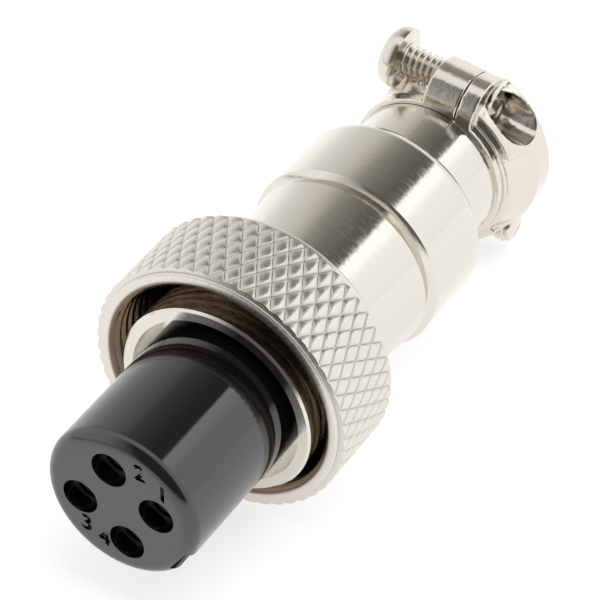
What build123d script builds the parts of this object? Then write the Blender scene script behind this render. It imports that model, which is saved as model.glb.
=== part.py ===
from build123d import *
import os
from math import cos, hypot, pi, radians, sin

# Four-pole cable microphone plug with a screw coupling nut and a two-screw cable clamp.
# The connector's axis is +X, from the mating end to the cable end, and +Z is up.
# The origin is the centre of the sleeve's front face, where the mating socket stops.
# All sizes are in millimetres. Each x is a distance along the axis from that face.

# Moulded insert
insert_reach = 10.8
insert_radius = 5.35
insert_edge_round = 0.9
keyway_width = 2.0
keyway_depth = 0.5
keyway_stop = 1.2
keyway_angle = -33.7

# Socket contacts in the insert
contact_count = 4
contact_turn = 11.3
cavity_radius = 1.23
cavity_depth = 9.0
cavity_wall = 0.345
contact_radius = 1.08
contact_bore_radius = 0.76
contact_socket_depth = 6.0
contact_recess = 1.5
contact_slot_width = 0.28
contact_slot_length = 4.2
contact_seat_gap = 0.01
cup_radius = 0.93
cup_bore_radius = 0.64
cup_length = 3.6
cup_bore_depth = 3.0
cup_scoop_length = 2.0

# Sleeve that carries the insert and keeps the nut on
recess_gap = 0.7
recess_depth = 1.8
flange_face_width = 0.8
flange_back = 1.0
flange_edge = 0.15
neck_allowance = 0.15
tail_step = 0.65
tail_wall = 0.48
tail_length = 4.95
insert_seat_gap = 0.02

# Coupling nut
nut_front_x = 0.3
nut_length = 6.9
nut_play = 0.05
nut_catch = 0.75
nut_mouth_chamfer = 0.3
nut_mouth_depth = 0.35
nut_wall = 1.02
rim_chamfer = 0.15
rear_chamfer = 0.45
front_rim_length = 0.25
rear_rim_length = 1.0
knurl_rise = 0.02
knurl_depth = 0.36
knurl_count = 50
knurl_half_rows = 6
lip_thickness = 0.9
lip_running_gap = 0.05

# Back shell
shell_gap = 0.25
shell_front_step = 0.1
flare_length = 7.4
flare_rise = 0.9
groove_width = 0.75
groove_depth = 0.75
groove_edge = 0.12
barrel_step = 0.35
barrel_length = 6.5
shoulder_flat = 0.35
strain_neck_wall = 2.1
strain_neck_length = 4.3
sleeve_seat_gap = 0.02
wire_space_step = 0.1
wire_space_wall = 1.0
wire_space_cone = 1.9
cable_radius = 3.1

# Cable clamp: u runs across the clamp towards the screw heads, n runs up between the screws
clamp_turn = 7.0
clamp_length = 5.0
clamp_step = 0.3
clamp_collar_length = 0.8
clamp_collar_step = 0.3
clamp_band_rise = 1.3
clamp_flare_length = 3.0
clamp_rear_edge = 0.4
clamp_joint_u = -1.3
clamp_joint_gap = 0.06
ear_outer_u = 1.2
ear_front_rise = 2.9
ear_rear_rise = 0.85
ear_root_gap = 0.1
ear_round = 2.1
lug_face_u = -2.5
pocket_radius = 1.4
pocket_back = 2.75
pocket_rise = 0.1
boss_rise = 0.75
clamp_screw_back = 3.25
clamp_screw_wall = 0.55

# Clamp screws
screw_radius = 1.2
screw_length = 7.1
screw_head_radius = 2.15
screw_head_height = 1.3
screw_head_edge = 0.55
screw_point = 0.25
recess_width = 0.6
recess_span = 2.4
recess_cut_depth = 0.8
screw_hole_gap = 0.15
screw_thread_gap = 0.05
lower_head_gap = 0.06
upper_head_gap = 3.05

# Set screw that locks the sleeve in the shell
set_screw_back = 2.95
set_screw_radius = 1.0
set_screw_gap = 0.02
set_screw_sink = 0.15
set_screw_slot_width = 0.35
set_screw_slot_depth = 0.4
set_screw_dimple = 0.25

# Radii that follow: each piece is sized from the one inside it
recess_radius = insert_radius + recess_gap
flange_radius = recess_radius + flange_face_width
neck_radius = insert_radius + neck_allowance
tail_radius = neck_radius - tail_step
insert_tail_radius = tail_radius - tail_wall - insert_seat_gap
contact_place_radius = insert_tail_radius - cavity_wall - cavity_radius
thread_crest_radius = flange_radius + nut_catch
nut_drop = thread_crest_radius - flange_radius - nut_play
lip_radius = neck_radius + nut_drop + lip_running_gap
rim_radius = thread_crest_radius + nut_wall
shell_front_radius = neck_radius + shell_front_step
flare_radius = shell_front_radius + flare_rise
barrel_radius = flare_radius + barrel_step
strain_neck_radius = cable_radius + strain_neck_wall
barrel_round = barrel_radius - strain_neck_radius - shoulder_flat
wire_space_radius = tail_radius + wire_space_step
clamp_front_radius = strain_neck_radius + clamp_step
clamp_band_radius = clamp_front_radius + clamp_band_rise
ear_root = cable_radius + ear_root_gap
clamp_screw_offset = cable_radius + screw_radius + clamp_screw_wall
pocket_offset = clamp_screw_offset + pocket_rise

# Places that follow along the axis
flange_rear_x = recess_depth + flange_back
nut_rear_x = nut_front_x + nut_length
shell_front_x = nut_rear_x + shell_gap
tail_end_x = shell_front_x + tail_length
set_screw_x = shell_front_x + set_screw_back
groove_front_x = shell_front_x + flare_length
barrel_front_x = groove_front_x + groove_width
barrel_end_x = barrel_front_x + barrel_length
wire_space_end_x = barrel_end_x - wire_space_wall
clamp_front_x = barrel_end_x + strain_neck_length
clamp_rear_x = clamp_front_x + clamp_length
pocket_x = clamp_front_x + pocket_back
clamp_screw_x = clamp_front_x + clamp_screw_back


def turned(outline, rounds=()):
    """Solid turned about the connector's axis from (x, radius) points."""
    profile = make_face(Polyline(*outline, close=True))
    for corner, radius in rounds:
        nearest = profile.vertices().sort_by_distance((corner[0], corner[1], 0))[0]
        profile = fillet(nearest, radius)
    return revolve(profile, Axis.X)


def rod(x_start, x_end, radius, y=0.0, z=0.0):
    """Round bar along the connector's axis."""
    return Pos(x_start, y, z) * Rot(0, 90, 0) * Cylinder(
        radius, x_end - x_start, align=(Align.CENTER, Align.CENTER, Align.MIN)
    )


def across(u_start, u_end, radius, x, n):
    """Round bar across the clamp, square to the connector's axis."""
    bar = Pos(x, u_start, n) * Rot(-90, 0, 0) * Cylinder(
        radius, u_end - u_start, align=(Align.CENTER, Align.CENTER, Align.MIN)
    )
    return Rot(clamp_turn, 0, 0) * bar


def block(x_start, x_end, u_start, u_end, n_start, n_end):
    """Rectangular block between limits along x, u and n, not yet turned with the clamp."""
    size = (x_end - x_start, u_end - u_start, n_end - n_start)
    return Pos(x_start, u_start, n_start) * Box(*size, align=(Align.MIN, Align.MIN, Align.MIN))


def contact_places():
    """Centres of the contacts, in the plane across the axis."""
    turn = 360.0 / contact_count
    angles = [radians(contact_turn + turn * k) for k in range(contact_count)]
    return [(-contact_place_radius * cos(a), contact_place_radius * sin(a)) for a in angles]


# Insert: a long plain barrel that seats on the floor of the sleeve's recess
def make_insert():
    face_x = -insert_reach
    body = turned(
        [
            (face_x, 0),
            (face_x, insert_radius),
            (recess_depth, insert_radius),
            (recess_depth, insert_tail_radius),
            (tail_end_x, insert_tail_radius),
            (tail_end_x, 0),
        ],
        [((face_x, insert_radius), insert_edge_round)],
    )
    for y, z in contact_places():
        body -= rod(face_x, tail_end_x, cavity_radius, y, z)
    keyway = Box(
        insert_reach - keyway_stop,
        2 * keyway_depth,
        keyway_width,
        align=(Align.MIN, Align.CENTER, Align.CENTER),
    )
    body -= Rot(-keyway_angle, 0, 0) * Pos(face_x, -insert_radius, 0) * keyway
    return body


# Contact: a split socket at the front, a thicker body in the insert and a solder cup at the back
def make_contact(y, z):
    front_x = contact_recess - insert_reach
    body_x = cavity_depth - insert_reach
    body_radius = cavity_radius - contact_seat_gap
    cup_x = tail_end_x
    end_x = cup_x + cup_length
    pin_room = front_x + contact_socket_depth
    contact = turned(
        [
            (front_x, contact_bore_radius),
            (front_x, contact_radius),
            (body_x, contact_radius),
            (body_x, body_radius),
            (cup_x, body_radius),
            (cup_x, cup_radius),
            (end_x, cup_radius),
            (end_x, cup_bore_radius),
            (end_x - cup_bore_depth, cup_bore_radius),
            (end_x - cup_bore_depth, 0),
            (pin_room, 0),
            (pin_room, contact_bore_radius),
        ]
    )
    slot = Pos(front_x, 0, 0) * Box(
        contact_slot_length,
        2 * contact_radius + contact_slot_width,
        contact_slot_width,
        align=(Align.MIN, Align.CENTER, Align.CENTER),
    )
    scoop = Pos(end_x - cup_scoop_length, 0, 0) * Box(
        cup_scoop_length, 2 * cup_radius, cup_radius, align=(Align.MIN, Align.CENTER, Align.MIN)
    )
    return Pos(0, y, z) * (contact - slot - scoop)


# Sleeve: a flange with a recessed face, a neck that the nut runs on and a plain tail
def make_sleeve():
    bore = insert_tail_radius + insert_seat_gap
    sleeve = turned(
        [
            (0, recess_radius),
            (0, flange_radius - flange_edge),
            (flange_edge, flange_radius),
            (flange_rear_x - flange_edge, flange_radius),
            (flange_rear_x, flange_radius - flange_edge),
            (flange_rear_x, neck_radius),
            (shell_front_x, neck_radius),
            (shell_front_x, tail_radius),
            (tail_end_x, tail_radius),
            (tail_end_x, bore),
            (recess_depth, bore),
            (recess_depth, recess_radius),
        ]
    )
    dimple = Pos(set_screw_x, tail_radius, 0) * Rot(90, 0, 0) * Cylinder(
        set_screw_radius, set_screw_dimple, align=(Align.CENTER, Align.CENTER, Align.MIN)
    )
    return sleeve - dimple


# Diamond knurl: every diamond is a low pyramid between four corners at the groove bottoms
def make_knurl(x_start, x_end):
    valley_radius = rim_radius + knurl_rise
    peak_radius = valley_radius + knurl_depth
    step_x = (x_end - x_start) / knurl_half_rows
    step_turn = 2 * pi / knurl_count

    def corner(row, column):
        turn = (column + 0.5 * (row % 2)) * step_turn
        return (x_start + row * step_x, valley_radius * cos(turn), valley_radius * sin(turn))

    def peak(row, column):
        turn = (column + 0.5 + 0.5 * (row % 2)) * step_turn
        return (x_start + row * step_x, peak_radius * cos(turn), peak_radius * sin(turn))

    faces = []
    for row in range(knurl_half_rows + 1):
        for column in range(knurl_count):
            beside = column + row % 2
            top = peak(row, column)
            left = corner(row, column)
            right = corner(row, column + 1)
            neighbours = [corner(other, beside) for other in (row - 1, row + 1)
                          if 0 <= other <= knurl_half_rows]
            for tip in neighbours:
                faces.append(Face(Wire.make_polygon([top, left, tip], close=True)))
                faces.append(Face(Wire.make_polygon([top, tip, right], close=True)))
    for row in (0, knurl_half_rows):
        rim = []
        for column in range(knurl_count):
            rim.append(corner(row, column))
            rim.append(peak(row, column))
        faces.append(Face(Wire.make_polygon(rim, close=True)))
    return Solid(Shell(faces))


# Coupling nut: knurled outside, threaded bore, and a lip at the back that the flange catches
def make_nut():
    knurl_x = nut_front_x + front_rim_length
    knurl_end_x = nut_rear_x - rear_rim_length
    front_rim = turned(
        [
            (nut_front_x, 0),
            (nut_front_x, rim_radius - rim_chamfer),
            (nut_front_x + rim_chamfer, rim_radius),
            (knurl_x, rim_radius),
            (knurl_x, 0),
        ]
    )
    rear_rim = turned(
        [
            (knurl_end_x, 0),
            (knurl_end_x, rim_radius),
            (nut_rear_x - rear_chamfer, rim_radius),
            (nut_rear_x, rim_radius - rear_chamfer),
            (nut_rear_x, 0),
        ]
    )
    bore = turned(
        [
            (nut_front_x, 0),
            (nut_front_x, thread_crest_radius + nut_mouth_chamfer),
            (nut_front_x + nut_mouth_depth, thread_crest_radius),
            (nut_rear_x - lip_thickness, thread_crest_radius),
            (nut_rear_x - lip_thickness, lip_radius),
            (nut_rear_x, lip_radius),
            (nut_rear_x, 0),
        ]
    )
    nut = make_knurl(knurl_x, knurl_end_x) + front_rim + rear_rim - bore
    return Pos(0, 0, nut_drop) * nut


# Cable clamp half that is one piece with the shell: a flared band with two ears, each
# carried on outwards as a low boss round the pocket for its screw's end
def make_fixed_clamp():
    collar_x = clamp_front_x + clamp_collar_length
    band_x = clamp_front_x + clamp_flare_length
    band = turned(
        [
            (clamp_front_x, 0),
            (clamp_front_x, clamp_front_radius),
            (collar_x, clamp_front_radius),
            (collar_x, clamp_front_radius + clamp_collar_step),
            (band_x, clamp_band_radius),
            (clamp_rear_x - clamp_rear_edge, clamp_band_radius),
            (clamp_rear_x, clamp_band_radius - clamp_rear_edge),
            (clamp_rear_x, 0),
        ]
    )
    reach = 2 * clamp_band_radius
    band &= Rot(clamp_turn, 0, 0) * block(clamp_front_x, clamp_rear_x, -reach, clamp_joint_u, -reach, reach)
    ends = block(clamp_front_x, clamp_rear_x, lug_face_u, reach, -reach, reach)
    ends -= block(clamp_front_x, clamp_rear_x, lug_face_u, reach, -ear_root, ear_root)
    band -= Rot(clamp_turn, 0, 0) * ends
    boss_limit = turned(
        [
            (collar_x, 0),
            (collar_x, clamp_front_radius + boss_rise),
            (band_x, clamp_band_radius),
            (clamp_rear_x - clamp_rear_edge, clamp_band_radius),
            (clamp_rear_x - clamp_rear_edge, 0),
        ]
    )
    for side in (1, -1):
        band += make_ear(side, lug_face_u, clamp_joint_u)
        band += make_ear(side, -reach, lug_face_u) & boss_limit
        band -= across(-reach, lug_face_u, pocket_radius, pocket_x, side * pocket_offset)
        n = side * clamp_screw_offset
        band -= across(-reach, reach, screw_radius + screw_thread_gap, clamp_screw_x, n)
    return band


def make_ear(side, u_start, u_end):
    """Screw ear above (side 1) or below (side -1) the cable, rounded over its end."""
    outline = Polyline(
        (clamp_front_x, ear_root),
        (clamp_front_x, clamp_front_radius + ear_front_rise),
        (clamp_rear_x, clamp_front_radius + ear_rear_rise),
        (clamp_rear_x, ear_root),
        close=True,
    )
    face = make_face(outline)
    face = fillet(face.vertices().sort_by(Axis.Y)[-2:], ear_round)
    ear = extrude(Plane.XZ.offset(-u_start) * face, amount=u_start - u_end)
    if side < 0:
        ear = mirror(ear, Plane.XY)
    return Rot(clamp_turn, 0, 0) * ear


# Back shell: flared front, groove, barrel, neck and the fixed half of the cable clamp
def make_back_shell():
    groove_floor = flare_radius - groove_depth
    groove_middle_x = groove_front_x + groove_width / 2
    outside = turned(
        [
            (shell_front_x, 0),
            (shell_front_x, shell_front_radius),
            (groove_front_x, flare_radius),
            (groove_middle_x, groove_floor),
            (barrel_front_x, barrel_radius - groove_edge),
            (barrel_front_x + groove_edge, barrel_radius),
            (barrel_end_x, barrel_radius),
            (barrel_end_x, strain_neck_radius),
            (clamp_front_x, strain_neck_radius),
            (clamp_front_x, 0),
        ],
        [((barrel_end_x, barrel_radius), barrel_round)],
    )
    inside = turned(
        [
            (shell_front_x, 0),
            (shell_front_x, tail_radius + sleeve_seat_gap),
            (tail_end_x, tail_radius + sleeve_seat_gap),
            (tail_end_x, wire_space_radius),
            (wire_space_end_x, wire_space_radius),
            (wire_space_end_x + wire_space_cone, cable_radius),
            (clamp_rear_x, cable_radius),
            (clamp_rear_x, 0),
        ]
    )
    shell = outside + make_fixed_clamp() - inside
    screw_hole = Pos(set_screw_x, 0, 0) * Rot(-90, 0, 0) * Cylinder(
        set_screw_radius + set_screw_gap, barrel_radius, align=(Align.CENTER, Align.CENTER, Align.MIN)
    )
    return shell - screw_hole


# Clamp saddle: the loose half of the clamp, an arch with two ears
def make_saddle():
    seat_u = clamp_joint_u + clamp_joint_gap
    reach = 2 * clamp_front_radius
    arch = rod(clamp_front_x, clamp_rear_x, clamp_front_radius)
    half = block(clamp_front_x, clamp_rear_x, seat_u, reach, -reach, reach)
    saddle = arch & Rot(clamp_turn, 0, 0) * half
    for side in (1, -1):
        saddle += make_ear(side, seat_u, ear_outer_u)
        n = side * clamp_screw_offset
        saddle -= across(ear_outer_u, reach, screw_head_radius + screw_hole_gap, clamp_screw_x, n)
        saddle -= across(-reach, reach, screw_radius + screw_hole_gap, clamp_screw_x, n)
    return saddle - rod(clamp_front_x, clamp_rear_x, cable_radius)


# Clamp screw: pan head with a cross recess, standing at its place along u
def make_clamp_screw(side, head_gap):
    seat_u = ear_outer_u + head_gap
    n = side * clamp_screw_offset
    shank = Cylinder(screw_radius, screw_length, align=(Align.CENTER, Align.CENTER, Align.MAX))
    shank = chamfer(shank.edges().sort_by(Axis.Z)[0], screw_point)
    head = Cylinder(screw_head_radius, screw_head_height, align=(Align.CENTER, Align.CENTER, Align.MIN))
    head = chamfer(head.edges().sort_by(Axis.Z)[-1], screw_head_edge)
    for turn in (0, 90):
        head -= Pos(0, 0, screw_head_height) * Rot(0, 0, turn) * Box(
            recess_span, recess_width, recess_cut_depth, align=(Align.CENTER, Align.CENTER, Align.MAX)
        )
    screw = Pos(clamp_screw_x, seat_u, n) * Rot(-90, 0, 0) * (shank + head)
    return Rot(clamp_turn, 0, 0) * screw


# Set screw: slotted, headless, through the shell's wall into the sleeve's dimple
def make_set_screw():
    tip_y = tail_radius - set_screw_dimple
    slope = (flare_radius - shell_front_radius) / (groove_front_x - shell_front_x)
    wall_y = shell_front_radius + slope * (set_screw_x - shell_front_x)
    length = wall_y - set_screw_sink - tip_y
    screw = Cylinder(set_screw_radius, length, align=(Align.CENTER, Align.CENTER, Align.MIN))
    screw -= Pos(0, 0, length) * Box(
        2 * set_screw_radius,
        set_screw_slot_width,
        set_screw_slot_depth,
        align=(Align.CENTER, Align.CENTER, Align.MAX),
    )
    return Pos(set_screw_x, tip_y, 0) * Rot(-90, 0, 0) * screw


def make_parts():
    parts = {
        "insert": make_insert(),
        "insert_sleeve": make_sleeve(),
        "coupling_nut": make_nut(),
        "back_shell": make_back_shell(),
        "clamp_saddle": make_saddle(),
        "clamp_screw_upper": make_clamp_screw(1, upper_head_gap),
        "clamp_screw_lower": make_clamp_screw(-1, lower_head_gap),
        "set_screw": make_set_screw(),
    }
    for number, (y, z) in enumerate(contact_places(), start=1):
        parts[f"contact_{number}"] = make_contact(y, z)
    return parts


os.makedirs("parts", exist_ok=True)
for name, shape in make_parts().items():
    export_step(shape, f"parts/{name}.step")
    print(name, round(shape.volume, 2), "mm3")
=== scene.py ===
from math import cos, pi, radians, sin, tau

import bmesh
import bpy
from mathutils import Matrix, Vector


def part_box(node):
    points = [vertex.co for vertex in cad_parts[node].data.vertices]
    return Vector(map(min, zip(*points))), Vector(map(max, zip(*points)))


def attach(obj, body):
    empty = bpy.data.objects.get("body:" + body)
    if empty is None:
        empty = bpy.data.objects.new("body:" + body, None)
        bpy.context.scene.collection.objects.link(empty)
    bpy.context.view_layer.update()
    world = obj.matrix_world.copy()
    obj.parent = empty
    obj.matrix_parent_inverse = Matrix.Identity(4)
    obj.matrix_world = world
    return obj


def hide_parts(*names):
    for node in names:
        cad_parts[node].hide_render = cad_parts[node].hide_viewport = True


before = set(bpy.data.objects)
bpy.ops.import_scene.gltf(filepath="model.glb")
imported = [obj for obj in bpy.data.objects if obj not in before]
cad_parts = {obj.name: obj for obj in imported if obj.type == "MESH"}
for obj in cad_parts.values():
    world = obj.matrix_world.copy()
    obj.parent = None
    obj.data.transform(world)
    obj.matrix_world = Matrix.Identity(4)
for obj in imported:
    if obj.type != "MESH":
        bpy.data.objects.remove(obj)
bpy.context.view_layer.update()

scene = bpy.context.scene
MM = 0.001


# Sizes in millimetres, as in the solids. X runs along the plug, from the insert to the clamp.

# Two meshed points nearer than this are one
WELD = 0.0005

# Insert, with the distance and angle of each moulded number from its axis
INSERT_FACE = -10.8
NUMBER_HEIGHT, NUMBER_DEPTH, NUMBER_STROKE = 1.2, 0.22, 0.05
FONT_SIZE_FOR_HEIGHT = 1.4
NUMBER_PLACES = ((4.1, 38.0), (3.85, 64.5), (3.5, 228.0), (3.4, 251.5))

# Coupling nut
NUT_FRONT, NUT_REAR = 0.3, 7.2
RIM = 8.62
KNURL_START, KNURL_END = 0.5, 6.2
KNURL_AROUND, KNURL_ROWS = 50, 6
KNURL_VALLEY, KNURL_TOP = 8.86, 8.99
DIAMOND_STEPS = (-1.0, -0.92, -0.8, -0.55, 0.0, 0.55, 0.8, 0.92, 1.0)
DIAMOND_FLATNESS = 4
THREAD_CREST, THREAD_ROOT, THREAD_PITCH = 7.6, 8.02, 0.75
THREAD_START, THREAD_END, THREAD_ROWS_IN_TURN = 0.34, 6.1, 12
MOUTH_RADIUS, MOUTH_TAPER = 7.93, 1.3
FLANGE_FACE = 6.3

# Its profile as rows of (x, radius): the front rim into the mouth, then the rear flange
NUT_FRONT_ROWS = [
    (KNURL_START, RIM), (0.4, 8.61), (0.33, 8.56), (NUT_FRONT, 8.48), (NUT_FRONT, 8.02),
    (0.32, 7.96),
]
NUT_REAR_ROWS = [
    (FLANGE_FACE, THREAD_ROOT), (FLANGE_FACE, 6.4), (6.34, 6.3), (6.42, 6.25), (7.1, 6.25),
    (7.18, 6.3), (NUT_REAR, 6.38), (NUT_REAR, 8.12), (7.18, 8.19), (6.82, 8.55), (6.75, 8.6),
    (6.68, RIM), (KNURL_END, RIM),
]

# Clamp screws, M2.5 x 0.45 with a pan head
SCREW_CREST, SCREW_ROOT, SCREW_PITCH, SCREW_ROWS_IN_TURN = 1.2, 0.93, 0.45, 10
SCREW_LENGTH, SCREW_HEAD_RADIUS, SCREW_HEAD_HEIGHT = 7.1, 2.147, 1.3
SCREW_SIDES, SCREW_RUNOUT, SCREW_BEVEL, SCREW_POINT = 72, 0.3, 0.25, 0.9
HEAD_ROUND, HEAD_STEPS, HEAD_FLAT = 1.0, 8, 0.5
HEAD_EDGE = ((0.06, 0.0), (0.015, 0.02), (0.0, 0.07))
NECK = ((0.0, 0.1), (0.03, 0.02))
CROSS_SPAN, CROSS_WIDTH, CROSS_DEPTH = 2.4, 0.6, 0.8
CLAMP_TURN = radians(7.0)

# Cast clamp: where it starts on the back shell, and how its edges are softened
CLAMP_START = 26.35
CAST_SKIN = [
    ("REMESH", {"mode": "VOXEL", "voxel_size": 0.085}),
    ("SMOOTH", {"factor": 0.5, "iterations": 3}),
]
ALL_SMOOTH = 180.0

# Where the nut and the clamp's lower ear stand on the table
NUT_STANDS_AT, EAR_STANDS_AT = 3.7, 29.0


# Studio and camera, in metres

TABLE_HALF = 1.5

# Light round the plug's axis in the tent: share of the half turn from the right over the top,
# brightness, and warmth
TENT_LIGHT = (
    (0.0, 1.16, 0), (0.2, 1.22, 0), (0.25, 1.5, 0), (0.31, 1.6, 0), (0.326, 0.14, 1),
    (0.40, 0.125, 1), (0.50, 0.2, 1), (0.60, 0.32, 0.8), (0.69, 0.62, 0.5), (0.78, 0.76, 0.3),
    (0.88, 0.86, 0.2), (1.0, 1.1, 0),
)
WARM_RED, WARM_BLUE = 0.05, 0.12
TENT_GREY = (0.68, 0.68, 0.69, 1.0)
ROOM_DARK = (0.08, 0.078, 0.075, 1.0)

CAMERA_PLACE = (-0.13248, -0.08649, 0.14701)
CAMERA_AZIMUTH, CAMERA_ELEVATION = radians(-58.77), radians(41.26)
CAMERA_LENS, CAMERA_SENSOR = 210.0, 36.0


# Colours and nodes

# Sockets of a Mix node that mixes colours
MIX_SHARE, MIX_FIRST, MIX_SECOND, MIX_RESULT = 0, 6, 7, 2


def srgb(code):
    """Linear colour of an sRGB hex value."""
    parts = [int(code[k:k + 2], 16) / 255 for k in (1, 3, 5)]
    linear = [c / 12.92 if c <= 0.04045 else ((c + 0.055) / 1.055) ** 2.4 for c in parts]
    return (*linear, 1.0)


def add(tree, kind, inputs, **settings):
    """Adds a node with its settings. Its inputs, by name or number, get a value or a link."""
    node = tree.nodes.new("ShaderNode" + kind)
    for name, value in settings.items():
        setattr(node, name, value)
    for key, value in inputs.items():
        if isinstance(value, bpy.types.NodeSocket):
            tree.links.new(value, node.inputs[key])
        else:
            node.inputs[key].default_value = value
    return node


def new_material(name):
    """Material without nodes, and its node tree."""
    material = bpy.data.materials.new(name)
    material.use_nodes = True
    material.node_tree.nodes.clear()
    return material, material.node_tree


def place_in_mm(tree, along=1.0, across=1.0):
    """Object position in millimetres, scaled along the plug's axis and across it."""
    position = add(tree, "TexCoord", {}).outputs["Object"]
    scale = (along / MM, across / MM, across / MM)
    return add(tree, "Mapping", {"Vector": position, "Scale": scale}).outputs["Vector"]


def distance_from_axis(tree):
    """Place along the plug's axis and distance from it, in millimetres."""
    along = add(tree, "SeparateXYZ", {"Vector": place_in_mm(tree)}).outputs["X"]
    across = place_in_mm(tree, along=0.0)
    out = add(tree, "VectorMath", {0: across}, operation="LENGTH").outputs["Value"]
    return along, out


def ramps(tree, *rows):
    """Product of ramps.

    A row is a value, where its ramp starts and ends, and its level before and after it.
    """
    product = None
    for value, start, end, before, after in rows:
        ramp = add(tree, "MapRange", {"Value": value, 1: start, 2: end, 3: before, 4: after})
        level = ramp.outputs["Result"]
        if product is not None:
            level = add(tree, "Math", {0: product, 1: level}, operation="MULTIPLY").outputs[0]
        product = level
    return product


def uneven_skin(tree, *layers):
    """Relief in layers of noise, each on the one before.

    A layer is a place, the grains in a millimetre of it, their detail and depth in millimetres.
    """
    skin = None
    for place, grains, detail, depth in layers:
        height = add(tree, "TexNoise", {"Vector": place, "Scale": grains, "Detail": detail})
        inputs = {"Height": height.outputs["Fac"], "Distance": depth * MM, "Strength": 1.0}
        if skin is not None:
            inputs["Normal"] = skin
        skin = add(tree, "Bump", inputs).outputs["Normal"]
    return skin


def turned_nickel(name):
    """Bright nickel plate over brass turned on a lathe.

    It gives the eye a soft mirror with a warm grey tint. Tool marks run round the axis, 0.12 mm
    apart, about twice as coarse as the real ones so that they show. Duller bands among them
    fray the edges of the reflections.
    """
    material, tree = new_material(name)
    roughness, mark_depth, chatter_depth = 0.12, 0.0002, 0.011
    along, out = distance_from_axis(tree)
    rings = add(tree, "CombineXYZ", {"X": along, "Y": out}).outputs["Vector"]
    chatter = place_in_mm(tree, along=4.0, across=0.8)
    relief = uneven_skin(tree, (rings, 8.0, 3.0, mark_depth), (chatter, 1.0, 3.0, chatter_depth))
    bands = add(tree, "TexNoise", {"Vector": place_in_mm(tree, along=7.0, across=1.6),
                                   "Scale": 1.0, "Detail": 3.0})
    gloss = ramps(tree, (bands.outputs["Fac"], 0.36, 0.66, roughness * 0.7, roughness * 1.6))
    metal = add(tree, "BsdfPrincipled", {
        "Base Color": srgb("#DCD7CE"), "Metallic": 1.0, "Roughness": gloss, "Normal": relief})
    add(tree, "OutputMaterial", {"Surface": metal.outputs["BSDF"]})
    return material


def knurled_nickel(name):
    """Nickel plate on the knurled nut.

    It gives the eye a pale satin silver on the pads and rims, and grooves greyed as painted
    shade. The plate hardly reaches the thread, which shows brown brass darkened by painted shade.
    """
    material, tree = new_material(name)
    along, out = distance_from_axis(tree)
    # Inside the nut: brown brass, painted darker as the shade in the nut's hollow thread.
    outside = ramps(tree, (out, 7.95, 8.12, 0.0, 1.0))
    flange = ramps(tree, (along, FLANGE_FACE, 6.5, 0.0, 1.0))
    plated_and_lit = add(tree, "Math", {0: outside, 1: flange}, operation="MAXIMUM").outputs[0]
    tint = add(tree, "Mix", {
        MIX_SHARE: plated_and_lit, MIX_FIRST: srgb("#7A6858"), MIX_SECOND: srgb("#DCD7CF"),
    }, data_type="RGBA")
    # Painted shade: the knurl's grooves are greyed a third of the way to #6B655D.
    grooves = ramps(tree, (out, 8.3, 8.5, 0.0, 0.34), (out, 8.87, 8.95, 1.0, 0.0),
                    (along, 0.52, 0.7, 0.0, 1.0), (along, KNURL_END, 6.25, 1.0, 0.0))
    painted_shade_tint = add(tree, "Mix", {
        MIX_SHARE: grooves, MIX_FIRST: tint.outputs[MIX_RESULT], MIX_SECOND: srgb("#6B655D"),
    }, data_type="RGBA")
    place = place_in_mm(tree)
    satin = add(tree, "TexNoise", {"Vector": place, "Scale": 12.0, "Detail": 3.0})
    gloss = ramps(tree, (satin.outputs["Fac"], 0.38, 0.62, 0.8, 1.2),
                  (plated_and_lit, 0.0, 1.0, 0.2, 0.31))
    metal = add(tree, "BsdfPrincipled", {
        "Base Color": painted_shade_tint.outputs[MIX_RESULT], "Metallic": 1.0, "Roughness": gloss,
        "Normal": uneven_skin(tree, (place, 6.0, 3.0, 0.004))})
    add(tree, "OutputMaterial", {"Surface": metal.outputs["BSDF"]})
    return material


def cast_nickel(name, roughness, lumps):
    """Bright nickel plate over a die-cast clamp or a rolled screw, with lumps of a depth in mm.

    It gives the eye a bright mirror that bends softly with the skin of the metal under it.
    """
    material, tree = new_material(name)
    place = place_in_mm(tree)
    relief = uneven_skin(tree, (place, 1.1, 2.0, lumps), (place, 7.0, 2.0, lumps * 0.08))
    patches = add(tree, "TexNoise", {"Vector": place, "Scale": 0.8, "Detail": 4.0})
    gloss = ramps(tree, (patches.outputs["Fac"], 0.3, 0.7, roughness * 0.75, roughness * 1.3))
    metal = add(tree, "BsdfPrincipled", {
        "Base Color": srgb("#DBD5CB"), "Metallic": 1.0, "Roughness": gloss, "Normal": relief})
    add(tree, "OutputMaterial", {"Surface": metal.outputs["BSDF"]})
    return material


def black_moulding(name):
    """Black phenolic moulding, polished by its mould.

    It gives the eye a deep black with clear, slightly uneven reflections. Its IOR is above the
    usual 1.6 or so of phenolic, matched to how strongly the insert mirrors the tent.
    """
    material, tree = new_material(name)
    place = place_in_mm(tree)
    relief = uneven_skin(tree, (place, 0.35, 2.0, 0.006), (place, 5.0, 3.0, 0.0004))
    patches = add(tree, "TexNoise", {"Vector": place, "Scale": 0.9, "Detail": 5.0})
    gloss = ramps(tree, (patches.outputs["Fac"], 0.35, 0.7, 0.04, 0.1))
    plastic = add(tree, "BsdfPrincipled", {
        "Base Color": srgb("#0F0F11"), "Metallic": 0.0, "IOR": 1.82, "Roughness": gloss,
        "Normal": relief})
    add(tree, "OutputMaterial", {"Surface": plastic.outputs["BSDF"]})
    return material


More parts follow.
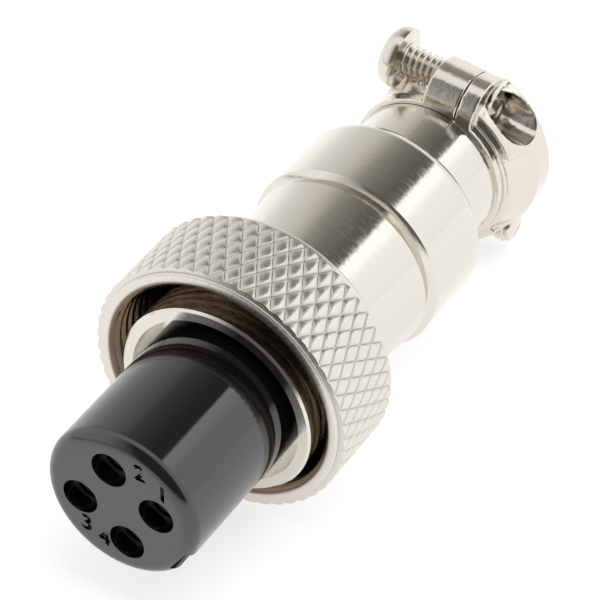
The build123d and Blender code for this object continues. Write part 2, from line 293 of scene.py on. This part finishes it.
def silver_contact(name):
    """Silver plate over brass.

    It gives the eye a pale warm metal, duller and yellower in patches where it has tarnished.
    """
    material, tree = new_material(name)
    patches = add(tree, "TexNoise", {"Vector": place_in_mm(tree), "Scale": 1.5, "Detail": 4.0})
    tarnish = patches.outputs["Fac"]
    tint = add(tree, "Mix", {
        MIX_SHARE: tarnish, MIX_FIRST: srgb("#EEE6D6"), MIX_SECOND: srgb("#D2C4A4"),
    }, data_type="RGBA")
    metal = add(tree, "BsdfPrincipled", {
        "Base Color": tint.outputs[MIX_RESULT], "Metallic": 1.0,
        "Roughness": ramps(tree, (tarnish, 0.3, 0.7, 0.3, 0.45))})
    add(tree, "OutputMaterial", {"Surface": metal.outputs["BSDF"]})
    return material


def lit_acrylic(name):
    """White acrylic table, lit from below.

    It gives the eye a plain white. Its light fades on the camera's side, which the insert's
    face mirrors.
    """
    material, tree = new_material(name)
    position = add(tree, "TexCoord", {}).outputs["Object"]
    along = add(tree, "SeparateXYZ", {"Vector": position}).outputs["X"]
    surface = add(tree, "BsdfPrincipled", {
        "Base Color": srgb("#BEBEBE"), "Roughness": 1.0, "Specular IOR Level": 0.0,
        "Emission Color": srgb("#FFFFFF"),
        "Emission Strength": ramps(tree, (along, -0.14, -0.03, 0.12, 0.66))})
    add(tree, "OutputMaterial", {"Surface": surface.outputs["BSDF"]})
    return material


# Meshes, in millimetres until a piece is done

def as_object(name, mesh_data):
    """Object from a bmesh, with its points welded and its faces turned outwards."""
    bmesh.ops.remove_doubles(mesh_data, verts=mesh_data.verts, dist=WELD)
    bmesh.ops.dissolve_degenerate(mesh_data, edges=mesh_data.edges, dist=WELD)
    bmesh.ops.recalc_face_normals(mesh_data, faces=mesh_data.faces)
    mesh = bpy.data.meshes.new(name)
    mesh_data.to_mesh(mesh)
    mesh_data.free()
    made = bpy.data.objects.new(name, mesh)
    scene.collection.objects.link(made)
    return made


def applied(made):
    """A bmesh of an object with its modifiers applied."""
    shaped = made.evaluated_get(bpy.context.evaluated_depsgraph_get())
    mesh_data = bmesh.new()
    mesh_data.from_mesh(shaped.to_mesh())
    shaped.to_mesh_clear()
    return mesh_data


def make_piece(name, mesh_data, body, material, steps=(), place=Matrix(),
               smooth_angle=32.0):
    """Piece from a bmesh in millimetres: its modifier steps applied, shaded smooth up to an angle.

    No step takes it beyond its first extent.
    """
    limits = [[pick(v.co[k] for v in mesh_data.verts) for k in range(3)] for pick in (min, max)]
    piece = as_object(name, mesh_data)
    for kind, settings in steps:
        step = piece.modifiers.new(kind.lower(), kind)
        for key, value in settings.items():
            setattr(step, key, value)
    mesh_data = applied(piece)
    piece.modifiers.clear()
    for vertex in mesh_data.verts:
        vertex.co = [min(max(c, low), high) for c, low, high in zip(vertex.co, *limits)]
    for face in mesh_data.faces:
        face.smooth = True
    for edge in mesh_data.edges:
        edge.smooth = not edge.is_manifold or edge.calc_face_angle(0.0) < radians(smooth_angle)
    mesh_data.to_mesh(piece.data)
    mesh_data.free()
    piece.data.transform(Matrix.Scale(MM, 4))
    piece.data.materials.clear()
    piece.data.materials.append(material)
    piece.matrix_world = place
    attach(piece, body)
    return piece


def cut(cutter):
    """Modifier step that cuts another shape out of the piece."""
    return "BOOLEAN", {"operation": "DIFFERENCE", "solver": "EXACT", "object": cutter}


def drop(*cutters):
    """Takes used cutters out of the scene."""
    for cutter in cutters:
        bpy.data.objects.remove(cutter)


def solid_of(node):
    """A bmesh of a CAD solid, in millimetres."""
    mesh_data = bmesh.new()
    mesh_data.from_mesh(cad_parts[node].data)
    bmesh.ops.scale(mesh_data, vec=(1 / MM,) * 3, verts=mesh_data.verts)
    bmesh.ops.remove_doubles(mesh_data, verts=mesh_data.verts, dist=WELD)
    return mesh_data


def keep_side(mesh_data, x, side):
    """Cuts a solid square to the axis at x, keeps what is ahead (-1) or behind (1), closes it."""
    everything = mesh_data.verts[:] + mesh_data.edges[:] + mesh_data.faces[:]
    split = bmesh.ops.bisect_plane(mesh_data, geom=everything, dist=WELD, plane_co=(x, 0, 0),
                                   plane_no=(side, 0, 0), clear_inner=True)
    rim = [item for item in split["geom_cut"] if isinstance(item, bmesh.types.BMEdge)]
    bmesh.ops.triangle_fill(mesh_data, edges=rim, use_beauty=True)
    return mesh_data


def box_between(low, high):
    """A bmesh box between two corners."""
    mesh_data = bmesh.new()
    middle = [(a + b) / 2 for a, b in zip(low, high)]
    size = [b - a for a, b in zip(low, high)]
    bmesh.ops.create_cube(mesh_data, size=1.0,
                          matrix=Matrix.Translation(middle) @ Matrix.Diagonal((*size, 1.0)))
    return mesh_data


def lathe(mesh_data, angles, before, thread, after):
    """Turned surface about +X through rows of (x, radius), with a thread between two rows.

    A radius may be a list with one value for each angle. The thread is (start x, end x, pitch,
    rows in a turn, radius from x and the share of a turn); its rows follow the helix.
    """
    start, end, pitch, per_turn, radius_at = thread
    count = len(angles)
    thread_rows = int((end - start) / pitch * per_turn) + 2 * per_turn + 1
    total = len(before) + thread_rows + len(after)

    def point(row, column):
        if len(before) <= row < len(before) + thread_rows:
            turns = angles[column] / tau
            x = start + pitch * ((row - len(before) - per_turn) / per_turn + turns)
            x = min(max(x, start), end)
            return x, radius_at(x, ((x - start) / pitch - turns) % 1.0)
        x, radius = (before + after)[row if row < len(before) else row - thread_rows]
        return x, radius[column] if isinstance(radius, list) else radius

    grid = []
    for row in range(total):
        line = []
        for column, angle in enumerate(angles):
            x, radius = point(row, column)
            line.append(mesh_data.verts.new((x, radius * cos(angle), radius * sin(angle))))
        grid.append(line)

    def vertex(row, column):
        if column < count:
            return grid[row][column]
        if len(before) <= row < len(before) + thread_rows:
            row = min(row + per_turn, len(before) + thread_rows - 1)
        return grid[row][0]

    for row in range(total - 1):
        for column in range(count):
            corners = [vertex(row, column), vertex(row, column + 1),
                       vertex(row + 1, column + 1), vertex(row + 1, column)]
            if len(set(corners)) == 4:
                mesh_data.faces.new(corners)


def thread_profile(crest, root, share):
    """Radius of a 60 degree thread at a share of its pitch, with flats an eighth of it wide."""
    flat = 1 / 8
    ramp = abs(2 * (share % 1.0) - 1)
    blend = min(max((ramp - flat) / (1 - 2 * flat), 0.0), 1.0)
    return root + (crest - root) * blend


# Coupling nut, with its knurl and thread

def diamond_height(u, v):
    """Height of a knurl diamond, from 0 in the grooves to 1 over most of its nearly flat pad."""
    return (1 - abs(u) ** DIAMOND_FLATNESS) * (1 - abs(v) ** DIAMOND_FLATNESS)


def knurl_point(row, column, u, v):
    """Point of a diamond; u and v run along its two groove directions."""
    step_x = (KNURL_END - KNURL_START) / KNURL_ROWS
    step_turn = tau / KNURL_AROUND
    x = KNURL_START + (row + (u + v) / 2) * step_x
    angle = (column + 0.5 + 0.5 * (row % 2) + (u - v) / 4) * step_turn
    radius = KNURL_VALLEY + (KNURL_TOP - KNURL_VALLEY) * diamond_height(u, v)
    return x, angle, radius


def add_knurl(mesh_data):
    """Rows of diamonds round the nut. The first and last rows are half diamonds."""
    steps = DIAMOND_STEPS
    middle = len(steps) - 1
    for row in range(KNURL_ROWS + 1):
        for column in range(KNURL_AROUND):
            grid = {}
            for i, u in enumerate(steps):
                for j, v in enumerate(steps):
                    if row == 0 and i + j < middle or row == KNURL_ROWS and i + j > middle:
                        continue
                    x, angle, radius = knurl_point(row, column, u, v)
                    place = (x, radius * cos(angle), radius * sin(angle))
                    grid[i, j] = mesh_data.verts.new(place)
            for i in range(len(steps) - 1):
                for j in range(len(steps) - 1):
                    square = ((i, j), (i + 1, j), (i + 1, j + 1), (i, j + 1))
                    present = [grid[key] for key in square if key in grid]
                    if len(present) >= 3:
                        mesh_data.faces.new(present)


def knurl_edge():
    """Angles and radii of the cut edge of the knurl, where its end rows are half diamonds."""
    angles, radii = [], []
    for column in range(KNURL_AROUND):
        for u in DIAMOND_STEPS[:-1]:
            _, angle, radius = knurl_point(0, column, u, -u)
            angles.append(angle)
            radii.append(radius)
    return angles, radii


def make_coupling_nut(material):
    """The nut, knurled outside and threaded inside, about its own loose axis."""
    low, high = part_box("coupling_nut")
    centre = (0.0, (low[1] + high[1]) / 2, (low[2] + high[2]) / 2)
    angles, edge = knurl_edge()

    def thread_radius(x, share):
        mouth = MOUTH_RADIUS - MOUTH_TAPER * (x - NUT_FRONT)
        return max(thread_profile(THREAD_CREST, THREAD_ROOT, share), mouth)

    before = [(KNURL_START, edge), *NUT_FRONT_ROWS]
    thread = (THREAD_START, THREAD_END, THREAD_PITCH, THREAD_ROWS_IN_TURN, thread_radius)
    after = [*NUT_REAR_ROWS, (KNURL_END, edge)]
    mesh_data = bmesh.new()
    add_knurl(mesh_data)
    lathe(mesh_data, angles, before, thread, after)
    nut = make_piece("coupling_nut_knurled", mesh_data, "nut", material,
                     place=Matrix.Translation(centre), smooth_angle=38.0)
    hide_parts("coupling_nut")


def make_clamp_screw(name, node, body, material):
    """Pan-head screw with a cross recess; its own +X runs from the head to the point."""
    under = SCREW_HEAD_HEIGHT
    total = under + SCREW_LENGTH
    angles = [tau * k / SCREW_SIDES for k in range(SCREW_SIDES)]

    def thread_radius(x, share):
        runout = min(max((x - under) / SCREW_RUNOUT, 0.0), 1.0)
        point = SCREW_CREST - max(0.0, x - (total - SCREW_BEVEL))
        cut_radius = thread_profile(SCREW_CREST, SCREW_ROOT, share)
        return min(SCREW_CREST + (cut_radius - SCREW_CREST) * runout, point)

    bends = [k / HEAD_STEPS * pi / 2 for k in range(HEAD_STEPS + 1)]
    dome = [(HEAD_ROUND * (1 - cos(bend)), SCREW_HEAD_RADIUS - HEAD_ROUND * (1 - sin(bend)))
            for bend in bends]
    edge = [(under - back, SCREW_HEAD_RADIUS - inward) for back, inward in HEAD_EDGE]
    neck = [(under + down, SCREW_CREST + outward) for down, outward in NECK]
    before = [(0.0, 0.0), (0.0, HEAD_FLAT), *dome, *edge, *neck]
    thread = (under + 0.08, total - 0.03, SCREW_PITCH, SCREW_ROWS_IN_TURN, thread_radius)
    after = [(total, SCREW_POINT), (total, 0.0)]
    mesh_data = bmesh.new()
    lathe(mesh_data, angles, before, thread, after)

    clear, half, width = -0.5, CROSS_SPAN / 2, CROSS_WIDTH / 2
    blades = [
        as_object("blade", box_between((clear, -half, -width), (CROSS_DEPTH, half, width))),
        as_object("blade", box_between((clear, -width, -half), (CROSS_DEPTH, width, half))),
    ]
    low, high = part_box(node)
    to_head = Vector((0, cos(CLAMP_TURN), sin(CLAMP_TURN)))
    head_top = (Vector(low) + Vector(high)) / 2 + to_head * total / 2 * MM
    plug_axis = Vector((1, 0, 0))
    turn = Matrix((-to_head, plug_axis, (-to_head).cross(plug_axis))).transposed().to_4x4()
    piece = make_piece(name, mesh_data, body, material,
                       [cut(blade) for blade in blades],
                       place=Matrix.Translation(head_top) @ turn)
    drop(*blades)
    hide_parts(node)


# Insert, with its moulded contact numbers

def make_number(text, radius, angle, shift):
    """Cutter for one contact number, upright on the insert's face. Two make a bold stroke."""
    words = bpy.data.curves.new("number", "FONT")
    words.body = text
    words.size = NUMBER_HEIGHT * FONT_SIZE_FOR_HEIGHT
    words.extrude = NUMBER_DEPTH
    words.align_x, words.align_y = "CENTER", "CENTER"
    written = bpy.data.objects.new("number", words)
    scene.collection.objects.link(written)
    upright = Matrix(((0, 0, -1), (-1, 0, 0), (0, 1, 0))).to_4x4()
    place = (INSERT_FACE, shift - radius * cos(radians(angle)),
             shift + radius * sin(radians(angle)))
    mesh_data = applied(written)
    bmesh.ops.transform(mesh_data, matrix=Matrix.Translation(place) @ upright,
                        verts=mesh_data.verts)
    drop(written)
    return as_object("number", mesh_data)


def make_insert(material):
    """The CAD insert with the numbers 1 to 4 cut into its face."""
    numbers = [make_number(str(k + 1), radius, angle, shift)
               for k, (radius, angle) in enumerate(NUMBER_PLACES)
               for shift in (-NUMBER_STROKE, NUMBER_STROKE)]
    piece = make_piece("insert_numbered", solid_of("insert"), "plug", material,
                       [cut(number) for number in numbers])
    drop(*numbers)
    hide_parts("insert")


# Back shell and clamp saddle: turned in front, cast with soft edges at the clamp

def make_back_shell(turned_metal, cast_metal):
    """The CAD shell in two pieces, for its turned front and its cast clamp half."""
    front = keep_side(solid_of("back_shell"), CLAMP_START, -1)
    turned = make_piece("back_shell_turned", front, "plug", turned_metal,
                        smooth_angle=24.0)
    rear = keep_side(solid_of("back_shell"), CLAMP_START, 1)
    clamp = make_piece("back_shell_clamp", rear, "plug", cast_metal, CAST_SKIN,
                       smooth_angle=ALL_SMOOTH)
    for piece in (turned, clamp):
        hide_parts("back_shell")


def make_clamp_saddle(material):
    """The CAD saddle with the soft edges of a casting."""
    saddle = make_piece("clamp_saddle_cast", solid_of("clamp_saddle"), "saddle",
                        material, CAST_SKIN, smooth_angle=ALL_SMOOTH)
    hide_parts("clamp_saddle")


# Materials, on the CAD nodes and the pieces
nickel_shell = turned_nickel("nickel_plate_turned")
nickel_nut = knurled_nickel("nickel_plate_knurled")
nickel_cast = cast_nickel("nickel_plate_cast", roughness=0.14, lumps=0.03)
nickel_screw = cast_nickel("nickel_plate_screw", roughness=0.17, lumps=0.006)
phenolic = black_moulding("black_phenolic")
contact_silver = silver_contact("silver_plated_brass")

finishes = {
    "insert": phenolic,
    "insert_sleeve": nickel_shell,
    "back_shell": nickel_shell,
    "clamp_saddle": nickel_cast,
    "set_screw": nickel_screw,
    "contact_1": contact_silver,
    "contact_2": contact_silver,
    "contact_3": contact_silver,
    "contact_4": contact_silver,
    "coupling_nut": nickel_nut,
    "clamp_screw_upper": nickel_screw,
    "clamp_screw_lower": nickel_screw,
}
for node, material in finishes.items():
    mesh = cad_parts[node].data
    mesh.materials.clear()
    mesh.materials.append(material)

make_insert(phenolic)
make_coupling_nut(nickel_nut)
make_back_shell(nickel_shell, nickel_cast)
make_clamp_saddle(nickel_cast)
make_clamp_screw("clamp_screw_upper_threaded", "clamp_screw_upper", "upper_screw", nickel_screw)
make_clamp_screw("clamp_screw_lower_threaded", "clamp_screw_lower", "lower_screw", nickel_screw)


def make_floor():
    """Pale table that touches the nut and the clamp's lower ear."""
    near = Vector((NUT_STANDS_AT * MM, 0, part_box("coupling_nut")[0][2]))
    far = Vector((EAR_STANDS_AT * MM, 0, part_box("back_shell")[0][2]))
    slope = (far.z - near.z) / (far.x - near.x)
    corners = [(-TABLE_HALF, -TABLE_HALF), (TABLE_HALF, -TABLE_HALF),
               (TABLE_HALF, TABLE_HALF), (-TABLE_HALF, TABLE_HALF)]
    data = bmesh.new()
    data.faces.new([data.verts.new((x, y, near.z + slope * (x - near.x))) for x, y in corners])
    mesh = bpy.data.meshes.new("floor")
    data.to_mesh(mesh)
    data.free()
    mesh.materials.append(lit_acrylic("lit_acrylic_table"))
    floor = bpy.data.objects.new("floor", mesh)
    scene.collection.objects.link(floor)


def make_studio():
    """A light tent, bright low on the right, with a dark gap over the plug.

    The polished barrel mirrors the gap. Behind the camera the tent opens to a dark room, which
    the insert's rounded edge mirrors.
    """
    world = bpy.data.worlds.new("studio_tent")
    world.use_nodes = True
    tree = world.node_tree
    tree.nodes.clear()
    direction = add(tree, "TexCoord", {}).outputs["Generated"]
    axes = add(tree, "SeparateXYZ", {"Vector": direction})
    along, left, up = (axes.outputs[k] for k in ("X", "Y", "Z"))
    right = add(tree, "Math", {0: left, 1: -1.0}, operation="MULTIPLY").outputs[0]
    angle = add(tree, "Math", {0: up, 1: right}, operation="ARCTAN2").outputs[0]
    half_turns = add(tree, "Math", {0: angle, 1: pi}, operation="DIVIDE").outputs[0]
    bands = add(tree, "ValToRGB", {"Fac": half_turns})
    elements = bands.color_ramp.elements
    while len(elements) < len(TENT_LIGHT):
        elements.new(0.5)
    brightest = max(level for _, level, _ in TENT_LIGHT)
    for element, (place, level, warmth) in zip(elements, TENT_LIGHT):
        element.position = place
        share = level / brightest
        element.color = (share * (1 + WARM_RED * warmth), share,
                         share * (1 - WARM_BLUE * warmth), 1.0)
    banded = ramps(tree, (along, 0.22, 0.38, 0.0, 1.0), (along, 0.8, 0.92, 1.0, 0.0))
    tent = add(tree, "Mix", {
        MIX_SHARE: banded, MIX_FIRST: TENT_GREY, MIX_SECOND: bands.outputs["Color"],
    }, data_type="RGBA")
    room = ramps(tree, (along, -0.35, -0.15, 1.0, 0.0), (left, 0.1, 0.6, 1.0, 0.0))
    around = add(tree, "Mix", {
        MIX_SHARE: room, MIX_FIRST: tent.outputs[MIX_RESULT], MIX_SECOND: ROOM_DARK,
    }, data_type="RGBA")
    glow = add(tree, "Background", {"Color": around.outputs[MIX_RESULT], "Strength": brightest})
    add(tree, "OutputWorld", {"Surface": glow.outputs["Background"]})
    scene.world = world


def make_softbox(name, place, target, size, power):
    """Round soft lamp that doesn't show in the reflections."""
    data = bpy.data.lights.new(name, "AREA")
    data.shape = "DISK"
    data.size = size
    data.energy = power
    lamp = bpy.data.objects.new(name, data)
    scene.collection.objects.link(lamp)
    lamp.location = place
    lamp.rotation_euler = (Vector(target) - Vector(place)).to_track_quat("-Z", "Y").to_euler()
    lamp.visible_glossy = False


def make_camera():
    """Camera at the photograph's viewing angle."""
    data = bpy.data.cameras.new("camera")
    data.lens = CAMERA_LENS
    data.sensor_width = CAMERA_SENSOR
    data.clip_start = 0.01
    data.clip_end = 10.0
    camera = bpy.data.objects.new("camera", data)
    scene.collection.objects.link(camera)
    azimuth, elevation = CAMERA_AZIMUTH, CAMERA_ELEVATION
    right = Vector((cos(azimuth), sin(azimuth), 0))
    forward = Vector((-sin(azimuth) * cos(elevation), cos(azimuth) * cos(elevation),
                      -sin(elevation)))
    up = right.cross(forward)
    turn = Matrix((right, up, -forward)).transposed().to_4x4()
    camera.matrix_world = Matrix.Translation(CAMERA_PLACE) @ turn
    scene.camera = camera


make_floor()
make_studio()
make_softbox("overhead_softbox", place=(0.05, -0.15, 0.6), target=(0.01, 0, 0), size=0.5,
             power=1.5)
make_camera()
scene.view_settings.view_transform = "Standard"
